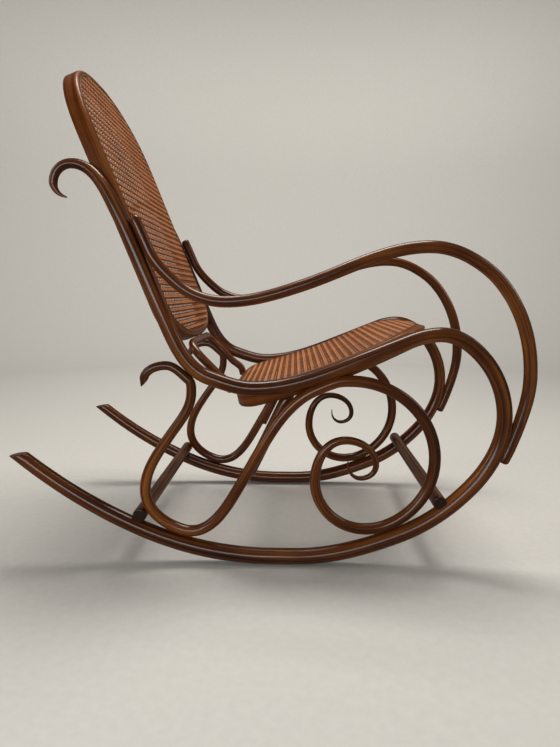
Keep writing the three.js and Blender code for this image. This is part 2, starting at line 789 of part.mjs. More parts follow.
// The screws of one side frame
function sideScrews(side, word) {
  const y = side * frameSpacing / 2;
  const across = new THREE.Vector3(0, side, 0);
  const named = (joint) => `${word}_${joint}_screw`;
  const railName = `${word}_side_rail`;
  const armName = `${word}_arm`;
  const bowName = `${word}_scroll_bow`;
  const loopName = `${word}_scroll_loop`;
  const strutName = `${word}_strut`;

  driveFromSide(named('arm_post'), rail, armPostScrewShare, -1, y, longScrew, [railName, armName]);
  const armLoopScrew = arm.bends.length - armEndScrewShare;
  driveFromSide(named('arm_loop'), arm, armLoopScrew, 1, y, shortScrew, [armName, railName]);
  driveFromSide(named('scroll_post'), scroll, hookScrewShare, -1, y, shortScrew, [bowName, railName]);
  driveFromSide(named('scroll_seat'), scroll, seatRailScrewShare, -1, y, shortScrew, [loopName, railName]);
  driveFromSide(named('scroll_rear'), rail, rearOnRunner.placeShare, 1, y, longScrew, [railName, bowName]);
  driveFromSide(named('scroll_front'), rail, frontOnRunner.placeShare, 1, y, longScrew, [railName, loopName]);
  driveFromSide(
    named('scroll_stretcher'), scroll, rearStretcherShare, 1, y, shortScrew,
    [bowName, 'rear_stretcher'],
  );
  driveFromSide(
    named('front_stretcher'), rail, frontStretcherShare, 1, y, longScrew,
    [railName, 'front_stretcher'],
  );

  const strutInner = new THREE.Vector3(strutStart.x, side * (strutWidth - strutRadius), strutStart.z);
  driveScrew(named('strut'), strutInner, across, shortScrew, [strutName, bowName]);

  const postPlace = along(rail, backScrewShare);
  const postSide = new THREE.Vector3(postPlace.x, y + side * postPlace.radius, postPlace.z);
  driveScrew(named('back'), postSide, across.clone().negate(), longScrew, [railName, 'back_frame']);

  Object.entries(seatScrewShares).forEach(([spot, share]) => {
    const frameWidth = outerLand + grooveWidth + innerLand;
    const inner = side * (halfInside(seatContactShare) - frameWidth);
    const point = onProfile(seatCurve, share * seatCurve.length, inner, -seatScrewDrop);
    driveScrew(named(`seat_${spot}`), point, across, longScrew, ['seat_frame', railName]);
  });

  const leg = onProfile(loopCurve, loopOverlap / 2, side * legPlace, loopRadius);
  const intoSeat = loopCurve.at(loopOverlap / 2).normal.clone().negate();
  driveScrew(named('loop_seat'), leg, intoSeat, loopScrew, ['connecting_loop', 'seat_frame']);
  const bowSpot = bow.clone().addScaledVector(lean, -loopRadius);
  bowSpot.y = side * bowScrewSpread / 2;
  driveScrew(named('loop_back'), bowSpot, lean, loopScrew, ['connecting_loop', 'back_frame']);
}

[[-1, 'right'], [1, 'left']].forEach(([side, word]) => {
  sideFrame(side, word);
  sideScrews(side, word);
});

// The chair's origin is on the floor, under the middle of its bounding box
const chair = new THREE.Group();
Object.entries(solids).forEach(([name, solid]) => {
  const { vertProperties, triVerts } = solid.getMesh();
  const geometry = new THREE.BufferGeometry();
  geometry.setAttribute('position', new THREE.BufferAttribute(vertProperties, 3));
  geometry.setIndex(new THREE.BufferAttribute(triVerts, 1));
  const mesh = new THREE.Mesh(geometry, new THREE.MeshStandardMaterial(materials[finishes[name]]));
  mesh.name = name;
  chair.add(mesh);
});
const box = new THREE.Box3().setFromObject(chair);
const centre = box.getCenter(new THREE.Vector3());
chair.position.set(-centre.x, -centre.y, -box.min.z);

export default chair;
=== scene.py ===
import math

import bpy
import numpy as np
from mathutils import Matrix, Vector


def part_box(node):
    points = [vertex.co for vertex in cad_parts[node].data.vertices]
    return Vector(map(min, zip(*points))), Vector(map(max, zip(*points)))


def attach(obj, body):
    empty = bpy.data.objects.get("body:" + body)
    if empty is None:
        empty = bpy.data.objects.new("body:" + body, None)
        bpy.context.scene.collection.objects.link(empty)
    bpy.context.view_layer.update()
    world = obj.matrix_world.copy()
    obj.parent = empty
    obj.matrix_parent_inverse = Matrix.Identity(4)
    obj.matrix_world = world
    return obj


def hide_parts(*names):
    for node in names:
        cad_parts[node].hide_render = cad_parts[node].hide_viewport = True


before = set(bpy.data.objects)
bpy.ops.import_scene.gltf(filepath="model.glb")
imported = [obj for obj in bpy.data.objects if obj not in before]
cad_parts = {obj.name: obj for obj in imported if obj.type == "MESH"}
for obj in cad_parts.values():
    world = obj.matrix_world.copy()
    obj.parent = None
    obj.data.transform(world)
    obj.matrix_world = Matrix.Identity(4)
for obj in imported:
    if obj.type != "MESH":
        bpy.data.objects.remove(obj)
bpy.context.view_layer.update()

# Sizes in millimetres, as in the solid model. +X is the way the sitter faces and +Z is up. The
# second row holds the diameters of the rods.
LENGTH, HEIGHT, SPACING = 1050.0, 1041.0, 500.0
RAIL, ARM, SCROLL, STRUT, STRETCHER, LOOP = 31.0, 24.0, 23.0, 24.0, 28.0, 18.0
FOOT, FOOT_AT, FOOT_RADIUS = 44.0, 0.031, 1.08
STRETCHER_LAP, ARM_LAP, SCROLL_LAP, GAP = 9.0, 6.0, 3.0, 0.3
TAIL_CUT, HOOK_CUT = 99.0, -44.0
MM = 0.001

# Rows of an outline: x as a share of the length, z as a share of the height, heading in degrees,
# radius as a share of the rod's radius
RAIL_TOP = [
    (-0.362, 0.7055, 167, 0.1), (-0.3845, 0.7305, 90, 0.52), (-0.3505, 0.7645, 0, 0.6),
    (-0.2767, 0.692, -64, 0.85), (-0.194, 0.4925, -67, 0.95), (-0.1085, 0.373, -20, 0.96),
    (-0.025, 0.3525, 0, 0.94), (0.1795, 0.408, 21.5, 0.94), (0.2685, 0.444, 21.5, 0.93),
    (0.322, 0.4553, 0, 0.94), (0.3995, 0.4135, -47.5, 0.95), (0.4455, 0.297, -89, 0.96),
    (0.3905, 0.163, -131.5, 1.03), (0.2565, 0.0645, -157.5, 1.05),
]
RAIL_TAIL = [(-0.2297, 0.064, 157.5, 1.05), (-0.4825, 0.221, 140, 0.92)]
ARM_ROWS = [
    (-0.166, 0.5495, -42, 0.93), (-0.0755, 0.516, 0, 0.94), (0.0705, 0.5475, 18.5, 0.98),
    (0.302, 0.615, -2, 1), (0.3685, 0.5957, -28.5, 1), (0.424, 0.553, -48.5, 1.04),
    (0.4885, 0.372, -90, 1.06), (0.4797, 0.31, -104.5, 1.02),
]
SCROLL_HOOK = [(-0.2317, 0.3615, 105, 0.74), (-0.1905, 0.396, 0, 0.78)]
SCROLL_REAR = [(-0.143, 0.3445, -91, 0.86), (-0.1865, 0.2595, -124.5, 0.9), (-0.237, 0.149, -90, 0.97)]
SCROLL_RISE = [(-0.047, 0.1715, 60, 0.97), (0.009, 0.2688, 57.5, 0.97), (0.0615, 0.3308, 39, 0.98)]
SCROLL_LOOP = [(0.157, 0.3675, 0, 1), (0.319, 0.213, -90, 1.02)]
SCROLL_SPIRAL = [
    (0.1885, 0.075, 180, 1), (0.0917, 0.172, 90, 0.92), (0.1495, 0.2525, 0, 0.71),
    (0.208, 0.2035, -90, 0.54), (0.179, 0.1775, 180, 0.42), (0.1548, 0.213, 78, 0.08),
]
LOOP_ROWS = [(-0.1067, 0.3636, 133), (-0.1435, 0.402, 133)]
SEAT_ROWS = [
    (-0.0757, 0.339, 12), (0.1157, 0.3958, 20.5), (0.231, 0.4463, 25), (0.3095, 0.467, 0),
    (0.3322, 0.4591, -37),
]

# Where a rod meets another: the place on the other rod, counted in its knots, and the radius there
# as a share of the rod's radius
ARM_ON_POST, ARM_ON_LOOP = [(3.19, 0.88), (3.44, 0.88)], (11.5, 0.93)
HOOK_ON_POST, REAR_ON_RUNNER = (4.8, 0.82), (15.76, 1.0)
TOP_ON_SEAT_RAIL, FRONT_ON_RUNNER = (6.7, 0.96), (13.1, 1.0)

# Places on the side rail, or on the scroll where the name says so, counted in knots
BACK_ON_POST, BACK_CONTACT, SEAT_CONTACT, FRONT_STRETCHER = 3, 4, 6, 12.4
REAR_STRETCHER_ON_SCROLL, STRUT_ON_SCROLL = 5.33, 7.12
STRUT_FORWARD, STRUT_TOP = 6.0, 0.246

# Seat and back frames. An oval's end is its arch and the roundness of that arch. The back's top is
# cut at the apex, and the cane is inset by a share of the groove's width.
BACK_DEPTH, SEAT_DEPTH = 32.0, 37.0
OUTER_LAND, FRONT_LAND, INNER_LAND, EDGE_ROUND = 9.0, 17.0, 8.0, 6.0
GROOVE, GROOVE_DEPTH, REBATE = 5.0, 6.0, 2.4
SPLINE_CROWN, SPLINE_DEPTH = 0.75, 4.0
BACK_HEIGHT, BACK_BELOW, BACK_LEAN = 615.0, 290.0, 21.4
BACK_TOP, BACK_FOOT, APEX = (180.0, 2.2), (85.0, 2.4), 1.0
CANE_INSET = 0.6
SEAT_REAR, SEAT_FRONT, CANE_FRONT = (76.0, 3.3), (130.0, 2.3), (115.0, 1.95)
LOOP_WIDTH, LOOP_CORNER, LOOP_OVERLAP, LOOP_SET_BACK = 270.0, 42.0, 10.0, 6.0

# How far the corners of the ring's section are blended, from its outer top edge inwards and down.
# Then the highlight painted on that edge, lighter where light from above catches it: its place in from the
# corner, its fading, its start and its tone.
SECTION_ROUNDS = [EDGE_ROUND + 2, 0.8, 0, 0, 0.6, 2.5, 2.0, 2.0]
HIGHLIGHT_IN, HIGHLIGHT_FADE, HIGHLIGHT_START, HIGHLIGHT_TONE = 1.5, 3.0, 1.6, -0.45

# How finely curves are drawn: steps in millimetres and degrees, then counts
ROD_STEP, TURN_STEP = 7.0, 3.5
PROFILE_SAMPLES, ARCH_STEPS, SIDE_STEPS, ROUND_STEPS, CROWN_STEPS = 160, 26, 36, 4, 8
LEG_STEPS, CORNER_STEPS, BOW_STEPS, STRETCHER_STEPS = 34, 14, 7, 30
ROD_SIDES, RAIL_SIDES, STRETCHER_SIDES, LOOP_SIDES, STAGE_SIDES = 28, 32, 32, 24, 64

# Ends of rods: how far on and how wide, in radii
DOME = [(math.sin(a), math.cos(a)) for a in np.radians([15, 30, 45, 60, 75, 86])]
WORN = [(0.12, 0.985), (0.3, 0.95), (0.48, 0.87), (0.62, 0.74), (0.71, 0.55), (0.75, 0.28), (0.755, 0.06)]
BLUNT = [(0.02, 0.95), (0.05, 0.9), (0.055, 0.4), (0.055, 0.05)]
LOOP_END = [(0.14, 0.97), (0.28, 0.86), (0.35, 0.6), (0.357, 0.1)]

# A slanted cut's eased rim: how far on in millimetres and how wide in radii. Stations nearer to the
# cut than the clearance are left out.
CUT_RIM = [(-2.6, 1.0), (-1.6, 0.985), (-0.8, 0.955), (-0.25, 0.91), (0.0, 0.86), (0.0, 0.4)]
CUT_CLEARANCE = 4.0

# A stretcher's end: how far in from its face, and how much thinner. Then where its plain part
# starts, and how far in the dark stain of its face fades.
STRETCHER_END = [(0.0, 9.0), (0.0, 2.2), (0.6, 0.8), (2.2, 0.0)]
STRETCHER_PLAIN, DARK_END = 12.0, 2.5

# Woven cane: the pitch of its pairs, the spacing within a pair, and a strand's width, thickness and
# section in shares of these
CANE_PITCH, PAIR, STRAND_WIDTH, STRAND_THICK = 14.9, 3.3, 3.0, 1.25
STRAND_SECTION = [(-0.5, -0.35), (-0.42, 0.22), (-0.18, 0.5), (0.18, 0.5), (0.42, 0.22), (0.5, -0.35)]

# Levels of the panel and, from there, of its strands. How far strands rise over each other, the
# steps along a diagonal, and how a strand's ends dip into the groove: how far and over what length.
CANE_LEVEL, ALONG_LEVEL, ACROSS_LEVEL, SLANT_LEVEL = -1.1, 0.05, 0.35, -0.6
PAIR_RISE, SLANT_RISE, SLANT_STEP, END_CLEARANCE = 0.62, -0.8, 2.6, 0.8
END_DIP, END_REACH = -2.6, 2.2

# Painted light and shade of the strands, from 0 dark to 1 light: the raised pairs across painted light, the
# pairs along and the diagonals painted dark as the shade between them.
# Then what a millimetre of height adds: painted light where a strand rises, painted shade where it dips
# under a crossing.
ALONG_PAINTED_LIGHT, ACROSS_PAINTED_LIGHT, SLANT_PAINTED_LIGHT, RISE_PAINTED_LIGHT = 0.22, 0.9, 0.1, 0.6

# Random differences between strands: place, its drift, least width, its spread, and shade
WANDER, DRIFT, LEAST_WIDTH, WIDTH_SPREAD, SHADE_SPREAD = 0.12, 0.06, 0.94, 0.1, 0.09

# Where the grain starts, in metres, so that no two rods are marked alike. A side frame's arm and
# scroll start on from its rail. The caned frames' values seed their weaves too.
SIDES = [(-1, "right", 0.0, 5.1), (1, "left", 3.7, 6.3)]
ARM_GRAIN, SCROLL_GRAIN, SPLINE_GRAIN = 0.9, 1.7, 2
FRONT_GRAIN, REAR_GRAIN, BACK_GRAIN, SEAT_GRAIN, LOOP_GRAIN = 7.7, 8.9, 11.0, 13.0, 17

# Colours of the wood's dark ends and of the highlight painted on the ring's lit top edge
END_GRAIN, EDGE_HIGHLIGHT_COLOUR = (0.022, 0.01, 0.006), (0.34, 0.125, 0.032)

# The camera that was fitted to the photo: place in millimetres, heading and dip in degrees, focal
# length and width of the picture in pixels, width of the sensor in millimetres
CAMERA_X, CAMERA_Y, CAMERA_Z, CAMERA_HEADING, CAMERA_DIP = 55.5, -1341.3, 554.1, 1.555, 8.175
FOCAL_PIXELS, PHOTO_PIXELS, SENSOR, CLIP_START = 561.0, 560.0, 36.0, 0.02

# The stage in metres: circles of the flat floor, a bend and a wall. Then the sky that lights it.
FLOOR_CIRCLES, BEND_RADIUS, WALL_TOP = (0.001, 1.0, 2.0, 3.2), 1.8, 5.0
SKY_COLOUR, SKY_STRENGTH = (1.0, 0.96, 0.9, 1), 0.16

# Lamps: name, place, aim, width and height in metres, watts and colour
LAMPS = [
    ("ceiling", (0.1, 0.4, 2.7), (0.0, 0.0, 0.4), 1.4, 0.9, 54, (1.0, 0.96, 0.9)),
    ("front", (-0.8, -2.6, 0.75), (0.0, 0.0, 0.4), 1.8, 0.6, 22, (0.98, 0.98, 1.0)),
    ("left", (-2.4, -0.6, 1.6), (0.0, 0.0, 0.4), 0.6, 1.4, 10, (1.0, 0.92, 0.8)),
    ("right", (2.4, 0.2, 1.8), (0.1, 0.0, 0.4), 0.5, 1.2, 10, (1.0, 0.93, 0.84)),
    ("backdrop", (0.0, 2.2, 2.9), (-0.4, 4.9, 1.2), 4.0, 0.8, 70, (1.0, 0.96, 0.9)),
]


def knots_of(rows, diameter=0.0):
    """Knots of an outline in millimetres and radians."""
    out = []
    for row in rows:
        radius = row[3] * diameter / 2 if len(row) > 3 else 0.0
        out.append((row[0] * LENGTH, row[1] * HEIGHT, math.radians(row[2]), radius))
    return out


class Outline:
    """A smooth planar curve through knots of x, z, heading and radius."""

    def __init__(self, knots):
        turned = [list(k) for k in knots]
        for i in range(1, len(turned)):
            turn = turned[i][2] - turned[i - 1][2]
            turned[i][2] -= 2 * math.pi * math.floor(turn / (2 * math.pi) + 0.5)
        self.knots = turned
        self.bends = [self.bend(a, b) for a, b in zip(turned, turned[1:])]

    @staticmethod
    def bend(a, b):
        """Control points of the cubic curve between two knots."""
        reach = math.hypot(b[0] - a[0], b[1] - a[1]) / (3 * math.cos((b[2] - a[2]) / 4) ** 2)
        return np.array([
            (a[0], a[1]),
            (a[0] + reach * math.cos(a[2]), a[1] + reach * math.sin(a[2])),
            (b[0] - reach * math.cos(b[2]), b[1] - reach * math.sin(b[2])),
            (b[0], b[1]),
        ])

    def at(self, place):
        """The x, z, heading and radius at a place counted in knots."""
        i = min(int(math.floor(place)), len(self.bends) - 1)
        t = place - i
        p = self.bends[i]
        s = 1 - t
        point = s ** 3 * p[0] + 3 * s * s * t * p[1] + 3 * s * t * t * p[2] + t ** 3 * p[3]
        way = 3 * s * s * (p[1] - p[0]) + 6 * s * t * (p[2] - p[1]) + 3 * t * t * (p[3] - p[2])
        radius = self.knots[i][3] + (self.knots[i + 1][3] - self.knots[i][3]) * t
        return point[0], point[1], math.atan2(way[1], way[0]), radius

    def stations(self):
        """Places along the whole curve, closer together where it turns."""
        places = []
        for i, p in enumerate(self.bends):
            length = np.linalg.norm(np.diff(p, axis=0), axis=1).sum()
            turn = math.degrees(abs(self.knots[i + 1][2] - self.knots[i][2]))
            count = max(2, math.ceil(length / ROD_STEP), math.ceil(turn / TURN_STEP))
            places += [i + k / count for k in range(count)]
        places.append(len(self.bends))
        return [self.at(place) for place in places]


def beside(rod, place, side, radius, turned=False, lap=0.0):
    """A knot that lies against another rod, or is let into it by a lap."""
    x, z, heading, own = rod.at(place)
    reach = side * (own + radius + GAP - lap)
    x, z = x - reach * math.sin(heading), z + reach * math.cos(heading)
    return x, z, heading + (math.pi if turned else 0.0), radius


def on_rail(where, side, diameter, **options):
    """A knot that lies against the side rail, from the place there and the share of the radius."""
    place, share = where
    return beside(rail, place, side, share * diameter / 2, **options)


def run_along(points):
    """How far along a line each of its points lies."""
    return np.concatenate([[0], np.cumsum(np.linalg.norm(np.diff(points, axis=0), axis=1))])


class Profile:
    """An outline by distance along it, with its travel and its upward normal, in the XZ plane."""

    def __init__(self, knots):
        curve = Outline(knots)
        places = np.linspace(0, len(curve.bends), PROFILE_SAMPLES * len(curve.bends) + 1)
        samples = np.array([curve.at(p)[:3] for p in places])
        self.x, self.z = samples[:, 0], samples[:, 1]
        self.headings = np.unwrap(samples[:, 2])
        self.distance = run_along(samples[:, :2])
        self.length = self.distance[-1]

    def heading(self, distance):
        return np.interp(distance, self.distance, self.headings)

    def point(self, distance, width, height):
        """Points at a distance along, a width across and a height above. Both ends go on straight."""
        d = np.asarray(distance, float)
        heading = self.heading(d)
        beyond = d - np.clip(d, 0, self.length)
        x = np.interp(d, self.distance, self.x) + beyond * np.cos(heading) - height * np.sin(heading)
        z = np.interp(d, self.distance, self.z) + beyond * np.sin(heading) + height * np.cos(heading)
        return np.stack([x, np.broadcast_to(width, x.shape), z], -1)


# Outlines of the bent rods
foot_radius = FOOT_RADIUS * RAIL / 2
rail = Outline(
    knots_of(RAIL_TOP, RAIL)
    + [(FOOT_AT * LENGTH + end * FOOT / 2, foot_radius, math.pi, foot_radius) for end in (1, -1)]
    + knots_of(RAIL_TAIL, RAIL))
arm = Outline(
    [on_rail(where, 1, ARM) for where in ARM_ON_POST]
    + knots_of(ARM_ROWS, ARM)
    + [on_rail(ARM_ON_LOOP, 1, ARM, lap=ARM_LAP)])
scroll = Outline(
    knots_of(SCROLL_HOOK, SCROLL)
    + [on_rail(HOOK_ON_POST, -1, SCROLL)]
    + knots_of(SCROLL_REAR, SCROLL)
    + [on_rail(REAR_ON_RUNNER, -1, SCROLL, turned=True)]
    + knots_of(SCROLL_RISE, SCROLL)
    + [on_rail(TOP_ON_SEAT_RAIL, -1, SCROLL, lap=SCROLL_LAP)]
    + knots_of(SCROLL_LOOP, SCROLL)
    + [on_rail(FRONT_ON_RUNNER, -1, SCROLL)]
    + knots_of(SCROLL_SPIRAL, SCROLL))

# Profiles of the seat and the back, and half their widths between the side rails
back_inside, seat_inside = (SPACING / 2 - rail.at(place)[3] - GAP for place in (BACK_CONTACT, SEAT_CONTACT))
lean = np.array([-math.sin(math.radians(BACK_LEAN)), math.cos(math.radians(BACK_LEAN))])
front = np.array([lean[1], -lean[0]])
back_foot = np.array(rail.at(BACK_ON_POST)[:2]) + front * BACK_DEPTH / 2 - lean * BACK_BELOW
back_top = back_foot + lean * BACK_HEIGHT
down_back = math.atan2(-lean[1], -lean[0])
back_curve = Profile([(*back_top, down_back, 0), (*back_foot, down_back, 0)])
seat_curve = Profile(knots_of(SEAT_ROWS))

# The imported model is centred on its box, so its stretcher says how far the outlines move
front_stretcher = beside(rail, FRONT_STRETCHER, -1, STRETCHER / 2, lap=STRETCHER_LAP)
rear_stretcher = beside(scroll, REAR_STRETCHER_ON_SCROLL, -1, STRETCHER / 2)
low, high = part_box("front_stretcher")
SHIFT = (low.x + high.x) / 2 / MM - front_stretcher[0]


def add_object(name, data):
    thing = bpy.data.objects.new(name, data)
    bpy.context.scene.collection.objects.link(thing)
    return thing


def smooth_mesh(name, points, faces, mat):
    """A smooth mesh of points in metres, in one material."""
    mesh = bpy.data.meshes.new(name)
    mesh.from_pydata(points, [], faces)
    mesh.validate()
    mesh.polygons.foreach_set("use_smooth", [True] * len(mesh.polygons))
    mesh.materials.append(mat)
    return mesh


def make(name, points, faces, slot, mat, replaces, grain, tone=None):
    """A piece of the chair from points in millimetres, with its place along the grain and its tone.

    The tone is 0 for plain wood, 1 for a dark end and -1 for an edge with a painted highlight.
    """
    shifted = (np.asarray(points, float) + np.array([SHIFT, 0, 0])) * MM
    mesh = smooth_mesh(name, shifted.tolist(), [tuple(f) for f in faces], mat)
    layer = mesh.attributes.new("grain", "FLOAT_VECTOR", "POINT")
    layer.data.foreach_set("vector", grain.ravel())
    if tone is not None:
        layer = mesh.attributes.new("tone", "FLOAT", "POINT")
        layer.data.foreach_set("value", tone.ravel())
    mesh.update()
    piece = add_object(name, mesh)
    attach(piece, "root")
    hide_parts(*replaces)


def grain_field(shape, run, across, up, start, across_start=0.0):
    """The grain of points in rows of that shape: how far along, across and up, in metres."""
    grain = np.zeros((*shape, 3))
    grain[..., 0] = run * MM + start
    grain[..., 1] = across * MM + across_start
    grain[..., 2] = up * MM
    return grain


def round_angles(sides):
    return np.arange(sides) * 2 * math.pi / sides


def tube(rings, closed=False):
    """Points and faces of a skin over rings of equal count."""
    count, sides = len(rings), len(rings[0])
    points = np.asarray(rings, float).reshape(-1, 3)
    faces = []
    for i in range(count if closed else count - 1):
        j = (i + 1) % count
        for k in range(sides):
            m = (k + 1) % sides
            faces.append((i * sides + k, i * sides + m, j * sides + m, j * sides + k))
    if not closed:
        faces.append(tuple(range(sides))[::-1])
        faces.append(tuple((count - 1) * sides + k for k in range(sides)))
    return points, outward(points, faces)


def outward(points, faces):
    """The faces turned so that the closed skin faces out."""
    volume = 0.0
    for f in faces:
        a = points[f[0]]
        for i in range(1, len(f) - 1):
            volume += np.dot(a, np.cross(points[f[i]], points[f[i + 1]]))
    return faces if volume > 0 else [f[::-1] for f in faces]


def ring(station, y, sides, swell=1.0):
    """A circle of points round a station of a rod in a side frame."""
    x, z, heading, radius = station
    angle = round_angles(sides)
    inside = radius * swell * np.cos(angle)
    return np.stack([
        x - inside * math.sin(heading), y + radius * swell * np.sin(angle), z + inside * math.cos(heading),
    ], -1)


def cap(station, direction, shares):
    """Stations that close a rod beyond its end. Each share is how far on, and how wide, in radii."""
    x, z, heading, radius = station
    out = []
    for on, wide in shares:
        step = direction * on * radius
        out.append((x + step * math.cos(heading), z + step * math.sin(heading), heading, wide * radius))
    return out


def cut_rings(last, y, sides, slope, way=1):
    """Rings that end a rod on a slanted cut whose rim is eased. The way is -1 at the rod's start."""
    centre = np.array([last[0], y, last[1]])
    travel = np.array([math.cos(last[2]), 0, math.sin(last[2])])
    normal = np.array([math.cos(slope), 0, math.sin(slope)])
    rings = []
    for ease, wide in CUT_RIM:
        edge = ring(last, y, sides, wide)
        slide = ((centre - edge) @ normal) / (travel @ normal) + way * ease
        rings.append(edge + slide[:, None] * travel)
    return rings


def clear_of_cut(stations, slope):
    """The stations without those that a slanted cut at the last one would pass."""
    last = stations[-1]
    reach = abs(last[3] * math.tan(last[2] - slope)) + CUT_CLEARANCE
    return [s for s in stations[:-1] if math.hypot(s[0] - last[0], s[1] - last[1]) > reach] + [last]


def rod(name, outline, y, replaces, seed, sides=ROD_SIDES, start=DOME, end=DOME, slope=None,
        start_slope=None):
    """A bent rod in a side frame, with its grain running along it.

    The start and the end are rows of a cap. A slope is the heading of a slanted cut's normal.
    """
    stations = outline.stations()
    if slope is not None:
        stations = clear_of_cut(stations, slope)
    if start_slope is not None:
        stations = clear_of_cut(stations[::-1], start_slope)[::-1]
    stations = cap(stations[0], -1, start)[::-1] + stations + cap(stations[-1], 1, end)
    rings = [ring(s, y, sides) for s in stations]
    if slope is not None:
        rings = rings[:-1] + cut_rings(stations[-1], y, sides, slope)
    if start_slope is not None:
        rings = cut_rings(stations[0], y, sides, start_slope, -1)[::-1] + rings[1:]
    centres = np.array([r.mean(0) for r in rings])
    radii = np.linalg.norm(np.array(rings) - centres[:, None], axis=2)
    angle = round_angles(sides)
    grain = grain_field(radii.shape, run_along(centres)[:, None], radii * np.cos(angle),
                        radii * np.sin(angle), seed, seed)
    make(name, *tube(rings), "rod", rod_wood, replaces, grain)


def half_oval(length, half_width, first, last):
    """Half of an oval: a straight side between two superelliptic arches."""
    points = []

    def arch(step, base, reach, roundness):
        angle = (1 - (step + 0.5) / (ARCH_STEPS + 0.5)) * math.pi / 2
        points.append((base + reach * math.sin(angle) ** (2 / roundness),
                       half_width * math.cos(angle) ** (2 / roundness)))

    for i in range(ARCH_STEPS):
        arch(i, first[0], -first[0], first[1])
    straight = length - first[0] - last[0]
    for i in range(SIDE_STEPS + 1):
        points.append((first[0] + straight * i / SIDE_STEPS, half_width))
    for i in range(ARCH_STEPS - 1, -1, -1):
        arch(i, length - last[0], last[0], last[1])
    return np.array(points)


def whole(half):
    """A closed path from its half and the mirror image of that."""
    other = half[::-1].copy()
    other[:, 1] *= -1
    return np.concatenate([half, other])


def inset(path, distance, closed=True):
    """Moves each point of a path to its right, with mitred corners."""
    after = np.roll(path, -1, 0) - path
    after /= np.linalg.norm(after, axis=1, keepdims=True)
    before = np.roll(after, 1, 0)
    if not closed:
        before[0] = after[0]
        after[-1] = before[-1]
    na = np.stack([after[:, 1], -after[:, 0]], 1)
    nb = np.stack([before[:, 1], -before[:, 0]], 1)
    unit = na + nb
    unit /= np.linalg.norm(unit, axis=1, keepdims=True)
    return path + distance * unit / (unit * na).sum(1, keepdims=True)


def strip(curve, section, closed=True):
    """Rings of a section, of path, inset and height, along paths on a profile."""
    lines = [curve.point(*inset(path, across, closed).T, height) for path, across, height in section]
    return np.stack(lines, 1)


def rounded(corners, radii):
    """A closed polygon with its corners rounded. Each corner is blended along its two edges."""
    out = []
    for i, (corner, radius) in enumerate(zip(corners, radii)):
        c = np.array(corner, float)
        if radius == 0:
            out.append(c)
            continue
        a = np.array(corners[i - 1], float) - c
        b = np.array(corners[(i + 1) % len(corners)], float) - c
        a /= np.linalg.norm(a)
        b /= np.linalg.norm(b)
        for k in range(ROUND_STEPS + 1):
            t = k / ROUND_STEPS
            out.append(c + a * radius * (1 - t) ** 2 + b * radius * t ** 2)
    return np.array(out)


def ring_section(outer, groove, depth):
    """The frame's section, and its shape alone.

    What lies outside the groove follows the outer path, the rest the path of the groove.
    """
    width = OUTER_LAND + GROOVE + INNER_LAND
    corners = [
        (0, 0), (OUTER_LAND, 0), (OUTER_LAND, -GROOVE_DEPTH), (OUTER_LAND + GROOVE, -GROOVE_DEPTH),
        (OUTER_LAND + GROOVE, -REBATE), (width, -REBATE), (width, -depth), (0, -depth),
    ]
    shape = rounded(corners, SECTION_ROUNDS)
    section = []
    for across, height in shape:
        if across < OUTER_LAND - 1:
            section.append((outer, across, height))
        else:
            section.append((groove, across - OUTER_LAND, height))
    return section, shape


def new_material(name):
    """A material with a plain shader, its node tree and that shader."""
    mat = bpy.data.materials.new(name)
    mat.use_nodes = True
    tree = mat.node_tree
    tree.nodes.clear()
    out = tree.nodes.new("ShaderNodeOutputMaterial")
    shader = tree.nodes.new("ShaderNodeBsdfPrincipled")
    tree.links.new(shader.outputs[0], out.inputs[0])
    return mat, tree, shader


def fill(tree, made, inputs):
    """Links each input that is given a socket, and sets the others."""
    for key, value in inputs.items():
        socket = made.inputs[key]
        if isinstance(value, bpy.types.NodeSocket):
            tree.links.new(value, socket)
        else:
            socket.default_value = value


def node(tree, kind, inputs=None, **settings):
    made = tree.nodes.new("ShaderNode" + kind)
    for key, value in settings.items():
        setattr(made, key, value)
    fill(tree, made, inputs or {})
    return made


def attribute(tree, name, output):
    return node(tree, "Attribute", attribute_name=name).outputs[output]


def object_place(tree):
    return node(tree, "TexCoord").outputs["Object"]


def map_range(tree, value, source=(0.0, 1.0), target=(0.0, 1.0)):
    """A value moved from the ends of one range to those of another."""
    return node(tree, "MapRange", {
        "Value": value, "From Min": source[0], "From Max": source[1],
        "To Min": target[0], "To Max": target[1],
    }).outputs[0]


def ramp(tree, fac, stops):
    """A colour from a value. Each stop is a value and the colour there."""
    made = node(tree, "ValToRGB", {0: fac})
    elements = made.color_ramp.elements
    while len(elements) < len(stops):
        elements.new(0.5)
    for element, (at, colour) in zip(elements, stops):
        element.position = at
        element.color = (*colour, 1)
    return made.outputs[0]


def noise(tree, source, scale, detail, rough=0.55, distortion=0.0):
    """Noise over a source that is stretched by a scale for each axis."""
    mapped = node(tree, "Mapping", {"Vector": source, "Scale": scale})
    return node(tree, "TexNoise", {
        "Vector": mapped.outputs[0], "Scale": 1.0, "Detail": detail, "Roughness": rough,
        "Distortion": distortion,
    }).outputs["Fac"]


def mix(tree, fac, a, b, mode="MIX"):
    made = node(tree, "Mix", {0: fac, 6: a, 7: b}, data_type="RGBA", blend_type=mode)
    return made.outputs[2]


def multiply(tree, colour, fac, source, stops):
    """A colour multiplied by a ramp of another value, as strongly as the factor says."""
    return mix(tree, fac, colour, ramp(tree, source, stops), "MULTIPLY")


def bump(tree, height, strength, distance):
    made = node(tree, "Bump", {"Height": height, "Strength": strength, "Distance": distance})
    return made.outputs[0]


